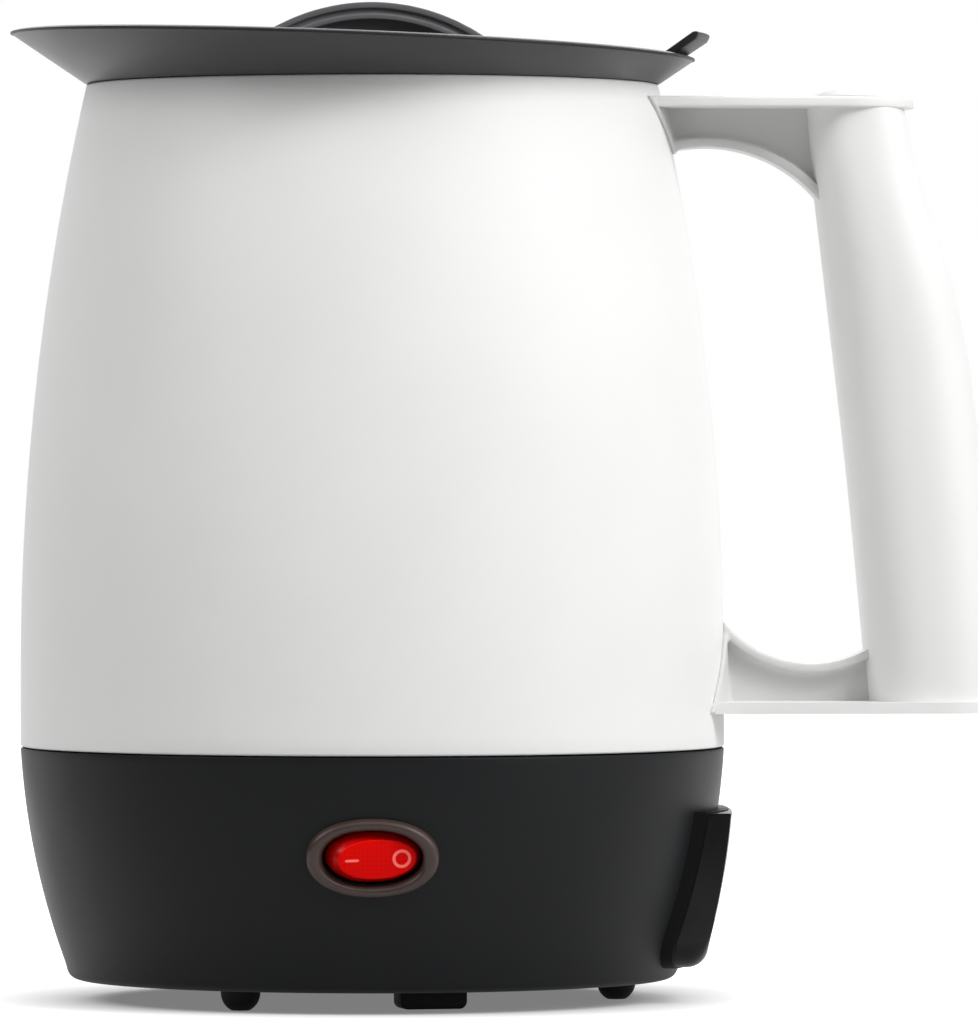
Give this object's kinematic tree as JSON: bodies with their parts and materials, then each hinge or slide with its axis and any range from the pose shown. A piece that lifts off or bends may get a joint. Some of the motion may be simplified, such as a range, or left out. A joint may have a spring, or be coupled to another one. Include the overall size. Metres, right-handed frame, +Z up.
{
  "type": "hot chocolate maker",
  "caption": "Barrel-shaped jug that heats and stirs chocolate, with a funnel collar, lift-off lid, side handle, rocker switch and power inlet.",
  "frame": {"origin": "middle of the footprint, on the surface that the feet stand on", "axes": "+Z up, +X towards the handle, -X towards the spout, -Y towards the rocker switch; the jug's own axis stands at x = -30.4 mm, y = 0.3 mm"},
  "size_m": [0.2152, 0.1506, 0.2124],
  "materials": {
    "white_plastic": "gloss white",
    "charcoal_plastic": "satin charcoal",
    "grey_plastic": "satin dark grey",
    "black_plastic": "semi-gloss black",
    "black_rubber": "matt",
    "red_lens": "clear red",
    "silicone": "matt translucent",
    "steel": "brushed",
    "zinc_steel": "zinc plated",
    "brass": "plain",
    "aluminium": "cast",
    "wire_insulation": "smooth",
    "circuit_board": "lacquered"
  },
  "bodies": {
    "housing": {"body_shell": "white_plastic", "base_shell": "charcoal_plastic", "bottom_plate": "charcoal_plastic", "collar": "grey_plastic", "vessel": "steel", "vessel_gasket": "silicone", "foot_1": "black_rubber", "foot_2": "black_rubber", "foot_3": "black_rubber", "bottom_screw_1": "zinc_steel", "bottom_screw_2": "zinc_steel", "bottom_screw_3": "zinc_steel", "handle_upper_bracket": "white_plastic", "handle_lower_bracket": "white_plastic", "handle_grip": "white_plastic", "handle_cap": "white_plastic", "upper_bracket_screw": "zinc_steel", "lower_bracket_screw": "zinc_steel", "grip_top_screw": "zinc_steel", "grip_low_screw": "zinc_steel", "inlet_housing": "black_plastic", "inlet_blade_live": "brass", "inlet_blade_neutral": "brass", "inlet_blade_earth": "brass", "inlet_screw_1": "zinc_steel", "inlet_screw_2": "zinc_steel", "switch_housing": "black_plastic", "switch_lamp": "silicone", "switch_terminal_1": "brass", "switch_terminal_2": "brass", "switch_terminal_3": "brass", "heat_plate": "aluminium", "heating_element": "steel", "thermostat": "black_plastic", "thermal_fuse": "zinc_steel", "chassis_plate": "zinc_steel", "chassis_screw_1": "zinc_steel", "chassis_screw_2": "zinc_steel", "chassis_screw_3": "zinc_steel", "motor_can": "zinc_steel", "motor_end_cap": "black_plastic", "motor_magnet_1": "charcoal_plastic", "motor_magnet_2": "charcoal_plastic", "shaft_bushing": "brass", "shaft_seal": "silicone", "rectifier_board": "circuit_board", "wire_live_in": "wire_insulation", "wire_switched": "wire_insulation", "wire_heater": "wire_insulation", "wire_neutral": "wire_insulation", "wire_earth": "wire_insulation", "wire_motor": "wire_insulation"},
    "lid": {"lid": "grey_plastic", "lid_grip": "grey_plastic"},
    "rocker": {"switch_rocker": "red_lens"},
    "drive": {"motor_rotor": "steel", "motor_shaft": "steel", "drive_coupling": "black_plastic", "drive_spindle": "steel"},
    "stirrer": {"stirrer": "grey_plastic"}
  },
  "joints": [
    {"name": "lid_lift", "type": "slide", "parent": "housing", "child": "lid", "axis": [0, 0, 1], "range_m": [0, 0.06]},
    {"name": "rocker_press", "type": "hinge", "parent": "housing", "child": "rocker", "pos_m": [-0.03042, -0.06771, 0.03389], "axis": [0, 0.2198, -0.9755], "range_deg": [0, 20]},
    {"name": "drive_spin", "type": "hinge", "parent": "housing", "child": "drive", "pos_m": [-0.03042, 0.00031, 0.045], "axis": [0, 0, 1], "continuous": true},
    {"name": "stirrer_lift", "type": "slide", "parent": "drive", "child": "stirrer", "axis": [0, 0, 1], "range_m": [0, 0.02]}
  ]
}
